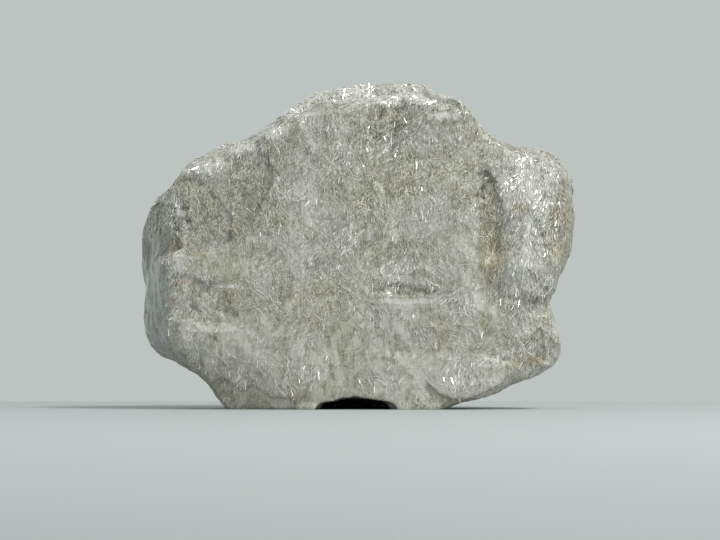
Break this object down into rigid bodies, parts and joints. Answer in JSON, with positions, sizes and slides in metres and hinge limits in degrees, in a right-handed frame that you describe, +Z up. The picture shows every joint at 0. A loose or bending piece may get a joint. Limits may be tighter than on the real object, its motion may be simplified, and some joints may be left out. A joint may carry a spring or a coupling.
{
  "type": "talc specimen",
  "caption": "Broken block of pale grey-green foliated talc with a broad glittering face, stepped sheet edges and a flat foot to stand on.",
  "frame": {"origin": "bottom centre of the bounding box, on the plane of the foot", "axes": "+X to the right along the block's width as seen from its shown face, -Y out of the shown face, +Z up"},
  "size_m": [0.122, 0.056, 0.091],
  "materials": {
    "talc": "pearly, finely fibrous and glittering pale grey-green talc"
  },
  "bodies": {
    "root": {"talc_block": "talc"}
  },
  "joints": []
}
